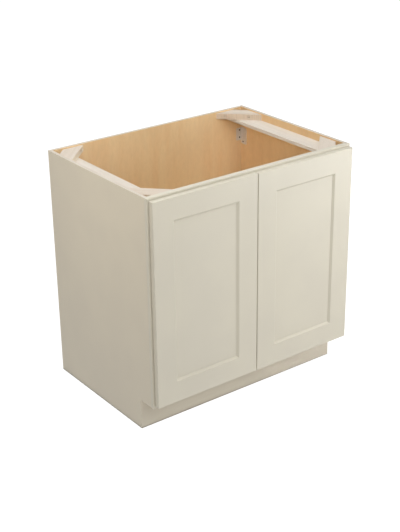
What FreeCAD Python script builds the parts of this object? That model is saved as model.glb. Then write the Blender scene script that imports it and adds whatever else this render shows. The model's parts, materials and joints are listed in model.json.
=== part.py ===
import FreeCAD, Part
import os

V = FreeCAD.Vector

# Carcass: the origin is on the floor, under the middle of the overall box
CABINET_W = 870.0
CABINET_D = 609.6
CABINET_H = 876.3
TOE_H = 114.3
TOE_SETBACK = 76.2
SIDE_T = 12.7
BACK_T = 12.7
FLOOR_T = 12.7
TOE_T = 12.7
DADO = 6.35

# Face frame
FRAME_T = 19.05
STILE_W = 38.1
TOP_RAIL_H = 38.1
BOTTOM_RAIL_H = 38.1
STILE_RABBET = 6.35
TENON_L = 12.7
TENON_T = 6.35
TENON_SHOULDER = 6.35
FRAME_EASE = 2.5

# Boards that stiffen the open top
TOP_BOARD_W = 70.0
TOP_BOARD_T = 12.7
TOP_BOARD_DROP = 27.4
BOARD_GROOVE_W = 1.6
BOARD_GROOVE_DEPTH = 1.2
BLOCK_NEAR = 41.0
BLOCK_FAR = 123.5
BLOCK_T = 22.2
BLOCK_SCREW_FROM_FRAME = 0.2
BLOCK_SCREW_FROM_SIDE = 0.28
POCKET_R = 3.6
POCKET_SEAT = 14.0

# Steel angle bracket in each back corner
BRACKET_T = 1.5
BRACKET_BELOW_BOARD = 41.2
BRACKET_STEP = 3.0
BRACKET_BACK_W = 26.0
BRACKET_SIDE_W = 34.0
BRACKET_BACK_H = 50.0
BRACKET_SIDE_H = 67.0
BRACKET_CORNER_R = 5.0
BRACKET_SHOULDER_R = 11.0
BRACKET_FOOT_R = 8.0
BRACKET_FOOT_HOLE = 9.0
BRACKET_FOOT_OUT = 14.3
BRACKET_NOTCH_R = 2.6
BRACKET_NOTCH_UP = 12.5
BRACKET_HOLE_OUT = 9.9
BRACKET_LOW_HOLE = 11.6
BRACKET_HIGH_HOLE = 9.0

# Wood screws
SHANK_R = 1.6
HEAD_R = 3.2
HEAD_T = 2.0
FLAT_HEAD_T = 1.0
BITE = 9.0

# Doors
DOOR_T = 19.05
DOOR_GAP = 2.0
SIDE_REVEAL = 7.0
TOP_REVEAL = 7.8
BOTTOM_REVEAL = 8.2
MEETING_GAP = 3.2
DOOR_FLAT_W = 78.5
DOOR_BEVEL = 7.3
PANEL_T = 6.35
PANEL_GROOVE = 9.5
PANEL_PLAY = 1.0
DOOR_EASE = 1.8
BUMPER_R = 4.0
BUMPER_T = 1.8
BUMPER_INSET = 22.0

# Concealed cup hinge: across from the frame's inner edge, and deep from the door's back face
HINGE_FROM_END = 89.0
CUP_R = 17.5
CUP_DEPTH = 11.5
CUP_WALL = 0.7
CUP_FLOOR = 0.6
CUP_ACROSS = -9.2
FLANGE_T = 0.5
FLANGE_W = 26.0
FLANGE_H = 58.0
DOWEL_R = 4.0
DOWEL_DEPTH = 10.0
DOWEL_ACROSS = 9.5
DOWEL_SPREAD = 22.5
ARM_PIN_INNER = (4.0, -0.14)
ARM_PIN_OUTER = (-0.73, -8.7)
CUP_PIN_INNER = (-18.44, -0.4)
CUP_PIN_OUTER = (-16.63, -3.27)
PIN_R = 1.0
PIN_PLAY = 0.06
OPEN_PIVOT_PLAY = 1.5
LINK_R = 1.8
OPEN_EYE_R = 3.5
EAR_R = 2.0
NECK_R = 1.5
PLATE_T = 1.5
PLATE_H = 36.0
PLATE_FROM_DOOR = 4.0
PLATE_DEEP = 15.5
CHEEK_ACROSS = 6.0
PLATE_SCREW_SPREAD = 12.0
LINK_BRIDGE_SHARE = 0.32

# Layers of the hinge, half-widths counted out from its middle plane
MID_EAR = 1.2
LAYER_GAP = 0.2
INNER_LINK_T = 1.2
CHEEK_T = 1.2
OUTER_LINK_T = 1.0
OUTER_EAR_T = 1.0

# Rollout trays
TRAY_H = 101.6
TRAY_T = 12.7
TRAY_BOTTOM_T = 6.35
TRAY_BOTTOM_LIFT = 12.7
TRAY_GROOVE = 6.35
TRAY_EASE = 3.0
TRAY_SETBACK = 64.0
TRAY_REAR_GAP = 5.85
HINGE_CLEARANCE = 25.4
TRAY_LIFT = {"lower": 20.0, "upper": 303.0}
TAILS = 3
TAIL_SHARE = 0.62
TAIL_SLOPE = 0.16

# Roller slides
SLIDE_SPACE = 12.7
SLIDE_INSET = 22.0
SLIDE_REAR_INSET = 28.8
STEEL_T = 1.2
CHANNEL_W = 10.0
ROLLER_R = 11.0
ROLLER_W = 5.6
ROLLER_OUT = 3.4
ROLLER_RISE = 1.5
ROLLER_FROM_END = 14.0
ROLLER_PIN_R = 2.5
ROLLER_GAP = 0.3
RIVET_R = 3.6
RIVET_T = 0.6
HUB_R = 5.0
HUB_RECESS = 0.8
RIM_W = 2.0
UNDER_FLANGE = 11.0
POST_W = 50.8
POST_H = 360.0
POST_FROM_SLIDE_END = 20.0

# Places worked out from the sizes above
OVERALL_D = CABINET_D + DOOR_GAP + DOOR_T
BACK_Y = OVERALL_D / 2
FRONT_Y = BACK_Y - CABINET_D
BACK_INNER_Y = BACK_Y - BACK_T
FRAME_BACK_Y = FRONT_Y + FRAME_T
DOOR_BACK_Y = FRONT_Y - DOOR_GAP
DOOR_FRONT_Y = DOOR_BACK_Y - DOOR_T
TOE_Y = FRONT_Y + TOE_SETBACK
SIDE_X = CABINET_W / 2
SIDE_INNER_X = SIDE_X - SIDE_T
FRAME_EDGE_X = SIDE_X - STILE_W
FLOOR_TOP = TOE_H + BOTTOM_RAIL_H
TOP_BOARD_Z = CABINET_H - TOP_BOARD_DROP
BRACKET_SIDE_TOP = TOP_BOARD_Z - TOP_BOARD_T - BRACKET_BELOW_BOARD
BRACKET_SIDE_Z = BRACKET_SIDE_TOP - BRACKET_SIDE_H
BRACKET_BACK_TOP = BRACKET_SIDE_TOP - BRACKET_STEP
BRACKET_BACK_Z = BRACKET_BACK_TOP - BRACKET_BACK_H
DOOR_OUTER_X = SIDE_X - SIDE_REVEAL
DOOR_INNER_X = MEETING_GAP / 2
DOOR_BOTTOM_Z = TOE_H + BOTTOM_REVEAL
DOOR_TOP_Z = CABINET_H - TOP_REVEAL
DOOR_MEMBER_W = DOOR_FLAT_W + DOOR_BEVEL
HINGE_Z = (DOOR_BOTTOM_Z + HINGE_FROM_END, DOOR_TOP_Z - HINGE_FROM_END)
SLIDE_OUTER_X = FRAME_EDGE_X - HINGE_CLEARANCE
TRAY_X = SLIDE_OUTER_X - SLIDE_SPACE
TRAY_FRONT_Y = FRAME_BACK_Y + TRAY_SETBACK
TRAY_BACK_Y = BACK_INNER_Y - TRAY_REAR_GAP
SLIDE_FRONT_Y = TRAY_FRONT_Y + SLIDE_INSET
SLIDE_BACK_Y = TRAY_BACK_Y - SLIDE_REAR_INSET
FRONT_ROLLER_Y = SLIDE_FRONT_Y + ROLLER_FROM_END
REAR_ROLLER_Y = SLIDE_BACK_Y - ROLLER_FROM_END
CHANNEL_H = 2 * (STEEL_T + ROLLER_R + ROLLER_GAP)
FRONT_ROLLER_Z = CHANNEL_H + ROLLER_RISE - ROLLER_R
REAR_ROLLER_Z = CHANNEL_H / 2
RUNNER_Z = FRONT_ROLLER_Z + ROLLER_R + ROLLER_GAP
POST_Y = (SLIDE_FRONT_Y + POST_FROM_SLIDE_END, SLIDE_BACK_Y - POST_FROM_SLIDE_END - POST_W)


def box(x0, x1, y0, y1, z0, z1):
    """A block between two corners."""
    return Part.makeBox(x1 - x0, y1 - y0, z1 - z0, V(x0, y0, z0))


def prism(axis, outline, low, high):
    """An outline in the plane across an axis, carried along that axis from low to high."""
    place = {
        "x": lambda a, b: V(low, a, b),
        "y": lambda a, b: V(a, low, b),
        "z": lambda a, b: V(a, b, low),
    }[axis]
    along = {"x": V(1, 0, 0), "y": V(0, 1, 0), "z": V(0, 0, 1)}[axis]
    corners = [place(a, b) for a, b in outline]
    face = Part.Face(Part.makePolygon(corners + corners[:1]))
    return face.extrude(along * (high - low))


def rod(radius, start, end):
    """A round bar between two points."""
    return Part.makeCylinder(radius, (end - start).Length, start, end - start)


def strap(p, q, radius, z0, z1):
    """A flat strap with round ends about two upright axes."""
    p, q = V(p[0], p[1], z0), V(q[0], q[1], z0)
    side = (q - p).cross(V(0, 0, 1)).normalize() * radius
    tip = (q - p).normalize() * radius
    outline = Part.Wire([
        Part.makeLine(p + side, q + side),
        Part.Arc(q + side, q + tip, q - side).toShape(),
        Part.makeLine(q - side, p - side),
        Part.Arc(p - side, p - tip, p + side).toShape(),
    ])
    return Part.Face(outline).extrude(V(0, 0, z1 - z0))


def union(solids):
    """Several touching solids as one."""
    return solids[0].fuse(solids[1:]).removeSplitter()


def mirrored(shape):
    """The same piece on the other side of the cabinet."""
    return shape.mirror(V(0, 0, 0), V(1, 0, 0))


def both_sides(solids):
    """Left-hand solids followed by their right-hand twins."""
    return solids + [mirrored(s) for s in solids]


def edges_where(shape, test):
    """The edges whose two ends both pass a test."""
    return [e for e in shape.Edges if all(test(v.Point) for v in e.Vertexes)]


def near(a, b):
    """Whether two lengths are the same to a thousandth."""
    return abs(a - b) < 1e-3


def wood_screw(seat, direction, bite, head_t=HEAD_T):
    """A screw whose head rests on seat and whose shank runs along direction."""
    return union([
        rod(HEAD_R, seat - direction * head_t, seat),
        rod(SHANK_R, seat - direction * head_t, seat + direction * bite),
    ])


def save(name, *solids):
    """Write one node's solids."""
    shape = solids[0] if len(solids) == 1 else Part.makeCompound(list(solids))
    shape.exportStep(f"parts/{name}.step")


def save_pair(name, solid):
    """Write a left piece and its right twin, where name has a place for the hand."""
    save(name.format("left"), solid)
    save(name.format("right"), mirrored(solid))


def corner_point(across, deep, back):
    """A place in a left top corner: across from the side panel, deep from the frame or the back."""
    y = BACK_INNER_Y - deep if back else FRAME_BACK_Y + deep
    return V(-SIDE_INNER_X + across, y, TOP_BOARD_Z + BLOCK_T / 2)


def block_screws(back):
    """The two pocket screws of a left corner block, each with the pocket it sits in."""
    toward_wall = V(0, 1, 0) if back else V(0, -1, 0)
    wall_across = BLOCK_FAR * (1 - BLOCK_SCREW_FROM_FRAME)
    side_deep = BLOCK_FAR * (1 - BLOCK_SCREW_FROM_SIDE)
    screws = []
    for seat, direction in (
        (corner_point(wall_across, POCKET_SEAT, back), toward_wall),
        (corner_point(POCKET_SEAT, side_deep, back), V(-1, 0, 0)),
    ):
        screw = wood_screw(seat, direction, POCKET_SEAT + BITE)
        pocket = rod(POCKET_R, seat, seat - direction * BLOCK_FAR)
        screws.append((screw, pocket))
    return screws


def corner_block(back):
    """A board set at 45 degrees across a left top corner, resting on the top board."""
    ends = ((BLOCK_NEAR, 0), (BLOCK_FAR, 0), (0, BLOCK_FAR), (0, BLOCK_NEAR))
    outline = [tuple(corner_point(a, d, back))[:2] for a, d in ends]
    block = prism("z", outline, TOP_BOARD_Z, TOP_BOARD_Z + BLOCK_T)
    for screw, pocket in block_screws(back):
        block = block.cut([screw, pocket])
    return block


def corner_bracket():
    """A steel angle in the back left corner, its side leaf longer and notched in its free edge."""
    x, y = -SIDE_INNER_X, BACK_INNER_Y
    free_x, free_y = x + BRACKET_BACK_W, y - BRACKET_SIDE_W
    back_leaf = box(x, free_x, y - BRACKET_T, y, BRACKET_BACK_Z, BRACKET_BACK_TOP)
    side_leaf = box(x, x + BRACKET_T, free_y, y, BRACKET_SIDE_Z, BRACKET_SIDE_TOP)
    ends = edges_where(back_leaf, lambda p: near(p.x, free_x))
    back_leaf = back_leaf.makeFillet(BRACKET_CORNER_R, [e for e in ends if near(e.Length, BRACKET_T)])
    for corner_y, corner_z, radius in (
        (free_y, BRACKET_SIDE_TOP, BRACKET_SHOULDER_R),
        (free_y, BRACKET_SIDE_Z, BRACKET_CORNER_R),
        (y, BRACKET_SIDE_Z, BRACKET_FOOT_R),
    ):
        corner = edges_where(side_leaf, lambda p: near(p.y, corner_y) and near(p.z, corner_z))
        side_leaf = side_leaf.makeFillet(radius, corner)
    notch_z = BRACKET_SIDE_Z + BRACKET_NOTCH_UP
    notch = rod(BRACKET_NOTCH_R, V(x, free_y, notch_z), V(x + BRACKET_T, free_y, notch_z))
    return union([back_leaf, side_leaf]).cut(bracket_screws() + [notch])


def bracket_screws():
    """The screws that hold the back left bracket to the back and to the side."""
    x, y = -SIDE_INNER_X, BACK_INNER_Y
    side_seat = V(x + BRACKET_T, y - BRACKET_FOOT_OUT, BRACKET_SIDE_Z + BRACKET_FOOT_HOLE)
    screws = [wood_screw(side_seat, V(-1, 0, 0), BITE)]
    for z in (BRACKET_BACK_Z + BRACKET_LOW_HOLE, BRACKET_BACK_TOP - BRACKET_HIGH_HOLE):
        seat = V(x + BRACKET_HOLE_OUT, y - BRACKET_T, z)
        screws.append(wood_screw(seat, V(0, 1, 0), BITE))
    return screws


def slide_screws(tray_z):
    """The flat screws that hold the left cabinet slide to its two posts."""
    x = -SLIDE_OUTER_X + STEEL_T
    z = tray_z + CHANNEL_H / 2
    seats = [V(x, y + POST_W / 2, z) for y in POST_Y]
    return [wood_screw(s, V(-1, 0, 0), BITE, FLAT_HEAD_T) for s in seats]


def plate_screws(hinge_z):
    """The two screws that hold a left hinge plate to the inner edge of the stile."""
    x = -FRAME_EDGE_X + PLATE_T
    y = DOOR_BACK_Y + PLATE_FROM_DOOR + PLATE_DEEP / 2
    seats = [V(x, y, hinge_z + s * PLATE_SCREW_SPREAD) for s in (-1, 1)]
    return [wood_screw(s, V(-1, 0, 0), BITE) for s in seats]


def side_panel():
    """The left side, notched at the toe and grooved for the floor and the back."""
    front = FRAME_BACK_Y - STILE_RABBET
    panel = box(-SIDE_X, -SIDE_INNER_X, front, BACK_Y, 0, CABINET_H)
    return panel.cut([
        box(-SIDE_X, -SIDE_INNER_X, front, TOE_Y, 0, TOE_H),
        floor_panel(),
        back_panel(),
    ])


def back_panel():
    """The back, let into rabbets in both sides."""
    reach = SIDE_INNER_X + DADO
    return box(-reach, reach, BACK_INNER_Y, BACK_Y, 0, CABINET_H)


def floor_panel():
    """The floor of the cabinet, let into grooves in both sides and level with the bottom rail."""
    reach = SIDE_INNER_X + DADO
    return box(-reach, reach, FRAME_BACK_Y, BACK_INNER_Y, FLOOR_TOP - FLOOR_T, FLOOR_TOP)


def toe_kick_board():
    """The board behind the toe space, between the sides and under the floor."""
    top = FLOOR_TOP - FLOOR_T
    return box(-SIDE_INNER_X, SIDE_INNER_X, TOE_Y, TOE_Y + TOE_T, 0, top)


def frame_rail(z0, z1, outer_z):
    """A face-frame rail with a stub tenon at each end, its outer front edge eased."""
    middle = (FRONT_Y + FRAME_BACK_Y) / 2
    reach = FRAME_EDGE_X + TENON_L
    rail = box(-FRAME_EDGE_X, FRAME_EDGE_X, FRONT_Y, FRAME_BACK_Y, z0, z1)
    eased = edges_where(rail, lambda p: near(p.y, FRONT_Y) and near(p.z, outer_z))
    tenon = box(-reach, reach, middle - TENON_T / 2, middle + TENON_T / 2,
                z0 + TENON_SHOULDER, z1 - TENON_SHOULDER)
    return union([rail.makeFillet(FRAME_EASE, eased), tenon])


def frame_stile(rails):
    """The left face-frame stile, mortised for the rails, rabbeted over the side panel and eased in front."""
    stile = box(-SIDE_X, -FRAME_EDGE_X, FRONT_Y, FRAME_BACK_Y, TOE_H, CABINET_H)
    eased = [e for e in edges_where(stile, lambda p: near(p.y, FRONT_Y))
             if not all(near(v.X, -FRAME_EDGE_X) for v in e.Vertexes)]
    rabbet = box(-SIDE_X, -SIDE_INNER_X, FRAME_BACK_Y - STILE_RABBET, FRAME_BACK_Y, TOE_H, CABINET_H)
    return stile.makeFillet(FRAME_EASE, eased).cut(rails + [rabbet])


def top_board():
    """The flat board along the left side under the corner blocks, with a groove in its edge."""
    edge = -SIDE_INNER_X + TOP_BOARD_W
    low = TOP_BOARD_Z - TOP_BOARD_T
    board = box(-SIDE_INNER_X, edge, FRAME_BACK_Y, BACK_INNER_Y, low, TOP_BOARD_Z)
    middle = (low + TOP_BOARD_Z) / 2
    groove = box(edge - BOARD_GROOVE_DEPTH, edge, FRAME_BACK_Y, BACK_INNER_Y,
                 middle - BOARD_GROOVE_W / 2, middle + BOARD_GROOVE_W / 2)
    return board.cut(groove)


def slide_posts():
    """The front and rear upright on the left that carry the slides clear of the hinges."""
    return [box(-SIDE_INNER_X, -SLIDE_OUTER_X, y, y + POST_W, FLOOR_TOP, FLOOR_TOP + POST_H)
            for y in POST_Y]


def build_carcass(tray_heights):
    """Write the fixed case, with its screws."""
    screw_pairs = {back: block_screws(back) for back in (False, True)}
    block_set = [screw for pairs in screw_pairs.values() for screw, _ in pairs]
    bracket_set = bracket_screws()
    slide_set = [s for z in tray_heights for s in slide_screws(z)]
    plate_set = [s for z in HINGE_Z for s in plate_screws(z)]
    save("corner_block_screws", *both_sides(block_set))
    save("pan_head_screws", *both_sides(bracket_set + slide_set + plate_set))

    save_pair("{}_side_panel", side_panel().cut(block_set + bracket_set))
    save("back_panel", back_panel().cut(both_sides(block_set + bracket_set)))
    save("floor_panel", floor_panel())
    save("toe_kick_board", toe_kick_board())

    top_rail = frame_rail(CABINET_H - TOP_RAIL_H, CABINET_H, CABINET_H)
    bottom_rail = frame_rail(TOE_H, FLOOR_TOP, TOE_H)
    save_pair("face_frame_{}_stile", frame_stile([top_rail, bottom_rail]).cut(plate_set))
    save("face_frame_top_rail", top_rail.cut(both_sides(block_set)))
    save("face_frame_bottom_rail", bottom_rail)

    save_pair("{}_top_board", top_board())
    save_pair("front_{}_corner_block", corner_block(False))
    save_pair("back_{}_corner_block", corner_block(True))
    save_pair("{}_corner_bracket", corner_bracket())
    posts = [p.cut(slide_set) for p in slide_posts()]
    save("left_slide_posts", *posts)
    save("right_slide_posts", *[mirrored(p) for p in posts])


def across_slide(across):
    """Where a distance in from the left post falls."""
    return -SLIDE_OUTER_X + across


def cabinet_slide(tray_z):
    """The left fixed channel, with the front roller's rivet and a window over that roller."""
    x0, tip = across_slide(0), across_slide(CHANNEL_W)
    inner = STEEL_T
    outline = [
        (x0, tray_z), (tip, tray_z), (tip, tray_z + inner), (x0 + inner, tray_z + inner),
        (x0 + inner, tray_z + CHANNEL_H - inner), (tip, tray_z + CHANNEL_H - inner),
        (tip, tray_z + CHANNEL_H), (x0, tray_z + CHANNEL_H),
    ]
    channel = prism("y", outline, SLIDE_FRONT_Y, SLIDE_BACK_Y)
    window = box(x0 + inner, tip, SLIDE_FRONT_Y, FRONT_ROLLER_Y + ROLLER_R + RIM_W,
                 tray_z + FRONT_ROLLER_Z, tray_z + CHANNEL_H)
    z = tray_z + FRONT_ROLLER_Z
    head = ROLLER_OUT + ROLLER_W + ROLLER_GAP
    pin = rod(ROLLER_PIN_R, V(x0, FRONT_ROLLER_Y, z), V(across_slide(head), FRONT_ROLLER_Y, z))
    rivet = rod(RIVET_R, V(across_slide(head), FRONT_ROLLER_Y, z),
                V(across_slide(head + RIVET_T), FRONT_ROLLER_Y, z))
    return union([channel.cut(window), pin, rivet]).cut(slide_screws(tray_z))


def tray_slide(tray_z):
    """The left moving member: a web on the tray side, a runner on the front roller, a shelf below."""
    web = SLIDE_SPACE - STEEL_T
    outline = [
        (across_slide(SLIDE_SPACE + UNDER_FLANGE), tray_z - STEEL_T),
        (across_slide(SLIDE_SPACE + UNDER_FLANGE), tray_z),
        (across_slide(SLIDE_SPACE), tray_z),
        (across_slide(SLIDE_SPACE), tray_z + RUNNER_Z + STEEL_T),
        (across_slide(ROLLER_OUT), tray_z + RUNNER_Z + STEEL_T),
        (across_slide(ROLLER_OUT), tray_z + RUNNER_Z),
        (across_slide(web), tray_z + RUNNER_Z),
        (across_slide(web), tray_z - STEEL_T),
    ]
    member = prism("y", outline, SLIDE_FRONT_Y, SLIDE_BACK_Y)
    z = tray_z + REAR_ROLLER_Z
    head = ROLLER_OUT - ROLLER_GAP
    pin = rod(ROLLER_PIN_R, V(across_slide(web), REAR_ROLLER_Y, z), V(across_slide(head), REAR_ROLLER_Y, z))
    rivet = rod(RIVET_R, V(across_slide(head), REAR_ROLLER_Y, z),
                V(across_slide(head - RIVET_T), REAR_ROLLER_Y, z))
    return union([member, pin, rivet])


def roller(y, z):
    """A left nylon roller with a recess between its hub and its rim on both faces."""
    x0, x1 = across_slide(ROLLER_OUT), across_slide(ROLLER_OUT + ROLLER_W)
    wheel = rod(ROLLER_R, V(x0, y, z), V(x1, y, z))
    for face, inward in ((x0, 1), (x1, -1)):
        start = V(face, y, z)
        end = V(face + inward * HUB_RECESS, y, z)
        ring = rod(ROLLER_R - RIM_W, start, end).cut(rod(HUB_R, start, end))
        wheel = wheel.cut(ring)
    return wheel.cut(rod(ROLLER_PIN_R + PIN_PLAY, V(x0, y, z), V(x1, y, z)))


def tray_side(tray_z, bottom):
    """The left tray side, with dovetail sockets at both ends and a groove for the bottom."""
    top = tray_z + TRAY_H
    inner = -TRAY_X + TRAY_T
    side = box(-TRAY_X, inner, TRAY_FRONT_Y, TRAY_BACK_Y, tray_z, top)
    upper = edges_where(side, lambda p: near(p.z, top))
    side = side.makeFillet(TRAY_EASE, [e for e in upper if near(e.Length, TRAY_BACK_Y - TRAY_FRONT_Y)])
    pitch = TRAY_H / TAILS
    wide = pitch * (1 - TAIL_SHARE) / 2
    slope = TRAY_T * TAIL_SLOPE
    sockets = []
    for end, inward in ((TRAY_FRONT_Y, 1), (TRAY_BACK_Y, -1)):
        deep = end + inward * TRAY_T
        for n in range(TAILS + 1):
            z = tray_z + n * pitch
            outline = [(end, z - wide + slope), (end, z + wide - slope), (deep, z + wide), (deep, z - wide)]
            sockets.append(prism("x", outline, -TRAY_X, inner))
    return side.cut(sockets + [bottom])


def tray_end(y0, tray_z, sides, bottom):
    """A tray front or back, with its dovetail pins between the sides."""
    top = tray_z + TRAY_H
    end = box(-TRAY_X, TRAY_X, y0, y0 + TRAY_T, tray_z, top)
    upper = edges_where(end, lambda p: near(p.z, top))
    end = end.makeFillet(TRAY_EASE, [e for e in upper if near(e.Length, 2 * TRAY_X)])
    return end.cut(sides + [bottom])


def build_tray(name, tray_z):
    """Write one rollout tray with its slides and rollers."""
    reach = TRAY_X - TRAY_T + TRAY_GROOVE
    inset = TRAY_T - TRAY_GROOVE
    bottom_z = tray_z + TRAY_BOTTOM_LIFT
    bottom = box(-reach, reach, TRAY_FRONT_Y + inset, TRAY_BACK_Y - inset,
                 bottom_z, bottom_z + TRAY_BOTTOM_T)
    left = tray_side(tray_z, bottom)
    sides = [left, mirrored(left)]
    save_pair(name + "_tray_{}_side", left)
    save(f"{name}_tray_front", tray_end(TRAY_FRONT_Y, tray_z, sides, bottom))
    save(f"{name}_tray_back", tray_end(TRAY_BACK_Y - TRAY_T, tray_z, sides, bottom))
    save(f"{name}_tray_bottom", bottom)
    save(f"{name}_cabinet_slides", *both_sides([cabinet_slide(tray_z)]))
    save(f"{name}_tray_slides", *both_sides([tray_slide(tray_z)]))
    save(f"{name}_front_rollers", *both_sides([roller(FRONT_ROLLER_Y, tray_z + FRONT_ROLLER_Z)]))
    save(f"{name}_rear_rollers", *both_sides([roller(REAR_ROLLER_Y, tray_z + REAR_ROLLER_Z)]))


def member_outline():
    """A door member across its length: in from its outer edge, and back from the front face."""
    groove_in = DOOR_MEMBER_W - PANEL_GROOVE
    panel_back = DOOR_BEVEL + PANEL_T
    return [
        (0, 0), (DOOR_FLAT_W, 0), (DOOR_MEMBER_W, DOOR_BEVEL), (groove_in, DOOR_BEVEL),
        (groove_in, panel_back), (DOOR_MEMBER_W, panel_back), (DOOR_MEMBER_W, DOOR_T), (0, DOOR_T),
    ]


def door_stile(outer_x, inward):
    """An upright door member, eased round its outer front edges."""
    outline = [(outer_x + inward * s, DOOR_FRONT_Y + d) for s, d in member_outline()]
    stile = prism("z", outline, DOOR_BOTTOM_Z, DOOR_TOP_Z)
    eased = [e for e in edges_where(stile, lambda p: near(p.y, DOOR_FRONT_Y))
             if not all(near(v.X, outer_x + inward * DOOR_FLAT_W) for v in e.Vertexes)]
    return stile.makeFillet(DOOR_EASE, eased)


def door_rail(outer_z, inward, stiles):
    """A level door member, coped over the stiles at both ends."""
    outline = [(DOOR_FRONT_Y + d, outer_z + inward * s) for s, d in member_outline()]
    groove_in = DOOR_MEMBER_W - PANEL_GROOVE
    rail = prism("x", outline, -DOOR_OUTER_X + groove_in, -DOOR_INNER_X - groove_in)
    eased = edges_where(rail, lambda p: near(p.y, DOOR_FRONT_Y) and near(p.z, outer_z))
    return rail.makeFillet(DOOR_EASE, eased).cut(stiles)


def door_panel():
    """The flat left door panel in its grooves."""
    groove_in = DOOR_MEMBER_W - PANEL_GROOVE + PANEL_PLAY
    y = DOOR_FRONT_Y + DOOR_BEVEL
    return box(-DOOR_OUTER_X + groove_in, -DOOR_INNER_X - groove_in, y, y + PANEL_T,
               DOOR_BOTTOM_Z + groove_in, DOOR_TOP_Z - groove_in)


def bumpers():
    """Two soft dots on the back of the left lock stile."""
    x = -DOOR_INNER_X - BUMPER_INSET
    return [rod(BUMPER_R, V(x, DOOR_BACK_Y, z), V(x, DOOR_BACK_Y + BUMPER_T, z))
            for z in (DOOR_BOTTOM_Z + BUMPER_INSET, DOOR_TOP_Z - BUMPER_INSET)]


def hinge_point(place):
    """A hinge pin's place on the left, in plan."""
    across, deep = place
    return (-FRAME_EDGE_X + across, DOOR_BACK_Y + deep)


def upright(place, radius, z0, z1):
    """A bar along Z at a hinge pin's place."""
    x, y = hinge_point(place)
    return rod(radius, V(x, y, z0), V(x, y, z1))


def layers():
    """The half-widths where each leaf of the hinge starts and ends, from the middle out."""
    spans = {}
    at = MID_EAR
    for name, thick in (("inner_link", INNER_LINK_T), ("cheek", CHEEK_T),
                        ("outer_link", OUTER_LINK_T), ("outer_ear", OUTER_EAR_T)):
        spans[name] = (at + LAYER_GAP, at + LAYER_GAP + thick)
        at += LAYER_GAP + thick
    return spans


def above_and_below(z, span):
    """A layer's two ranges of height, one each side of the hinge's middle plane."""
    near_side, far_side = span
    return ((z + near_side, z + far_side), (z - far_side, z - near_side))


def cup_bores(z):
    """What the door loses to one cup and its two dowels."""
    x = -FRAME_EDGE_X + CUP_ACROSS
    cup = rod(CUP_R, V(x, DOOR_BACK_Y, z), V(x, DOOR_BACK_Y - CUP_DEPTH, z))
    dowels = [rod(DOWEL_R, V(x + DOWEL_ACROSS, DOOR_BACK_Y, z + s * DOWEL_SPREAD),
                  V(x + DOWEL_ACROSS, DOOR_BACK_Y - DOWEL_DEPTH, z + s * DOWEL_SPREAD)) for s in (-1, 1)]
    return [cup] + dowels


def cup_ear(place, z0, z1):
    """A leaf that rises from the cup's floor round a pin."""
    x, y = hinge_point(place)
    floor = DOOR_BACK_Y - CUP_DEPTH
    return [box(x - EAR_R, x + EAR_R, floor, y, z0, z1), upright(place, EAR_R, z0, z1)]


def hinge_cup(z):
    """A pressed cup with a flange, two dowels, three ears and its pins."""
    x = -FRAME_EDGE_X + CUP_ACROSS
    back = DOOR_BACK_Y + FLANGE_T
    flange = box(x + DOWEL_ACROSS - FLANGE_W / 2, x + DOWEL_ACROSS + FLANGE_W / 2, DOOR_BACK_Y, back,
                 z - FLANGE_H / 2, z + FLANGE_H / 2)
    upright_edges = [e for e in flange.Edges if near(e.Length, FLANGE_T)]
    flange = flange.makeFillet(DOWEL_R, upright_edges)
    collar = rod(CUP_R, V(x, DOOR_BACK_Y, z), V(x, back, z))
    hollow = rod(CUP_R - CUP_WALL, V(x, DOOR_BACK_Y - CUP_DEPTH + CUP_FLOOR, z), V(x, back, z))
    shell = union(cup_bores(z) + [flange, collar]).cut(hollow)
    spans = layers()
    solids = [shell] + cup_ear(CUP_PIN_INNER, z - MID_EAR, z + MID_EAR)
    reach = spans["inner_link"][1]
    solids.append(upright(CUP_PIN_INNER, PIN_R, z - reach, z + reach))
    for z0, z1 in above_and_below(z, spans["outer_ear"]):
        solids += cup_ear(CUP_PIN_OUTER, z0, z1)
    for z0, z1 in above_and_below(z, (spans["outer_link"][0], spans["outer_ear"][1])):
        solids.append(upright(CUP_PIN_OUTER, PIN_R, z0, z1))
    return union(solids)


def hinge_arm(z):
    """A plate on the stile's edge with two cheeks that reach into the cup and carry the arm pins."""
    x = -FRAME_EDGE_X
    y0 = DOOR_BACK_Y + PLATE_FROM_DOOR
    y1 = y0 + PLATE_DEEP
    spans = layers()
    neck = ((CHEEK_ACROSS + PLATE_T) / 2 - LAYER_GAP, PLATE_FROM_DOOR)
    solids = [box(x, x + PLATE_T, y0, y1, z - PLATE_H / 2, z + PLATE_H / 2)]
    for z0, z1 in above_and_below(z, spans["cheek"]):
        solids.append(box(x, x + CHEEK_ACROSS, y0, y1, z0, z1))
        solids.append(strap(hinge_point(ARM_PIN_INNER), hinge_point(neck), NECK_R, z0, z1))
        solids.append(strap(hinge_point(ARM_PIN_INNER), hinge_point(ARM_PIN_OUTER), EAR_R, z0, z1))
    reach = spans["cheek"][1]
    solids.append(upright(ARM_PIN_INNER, PIN_R, z - reach, z + reach))
    for z0, z1 in above_and_below(z, (spans["cheek"][0], spans["outer_link"][1])):
        solids.append(upright(ARM_PIN_OUTER, PIN_R, z0, z1))
    return union(solids).cut(plate_screws(z))


def inner_link(z):
    """Two leaves joined by a bridge, from the arm's inner pin to the cup's inner pin."""
    p, q = hinge_point(ARM_PIN_INNER), hinge_point(CUP_PIN_INNER)
    near_side, far_side = layers()["inner_link"]
    solids = [strap(p, q, LINK_R, z0, z1) for z0, z1 in above_and_below(z, (near_side, far_side))]
    ends = [tuple(a + (b - a) * share for a, b in zip(p, q))
            for share in (LINK_BRIDGE_SHARE, 1 - LINK_BRIDGE_SHARE)]
    solids.append(strap(ends[0], ends[1], LINK_R, z - near_side, z + near_side))
    holes = [upright(pin, PIN_R + PIN_PLAY, z - far_side, z + far_side)
             for pin in (ARM_PIN_INNER, CUP_PIN_INNER)]
    return union(solids).cut(holes)


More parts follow.
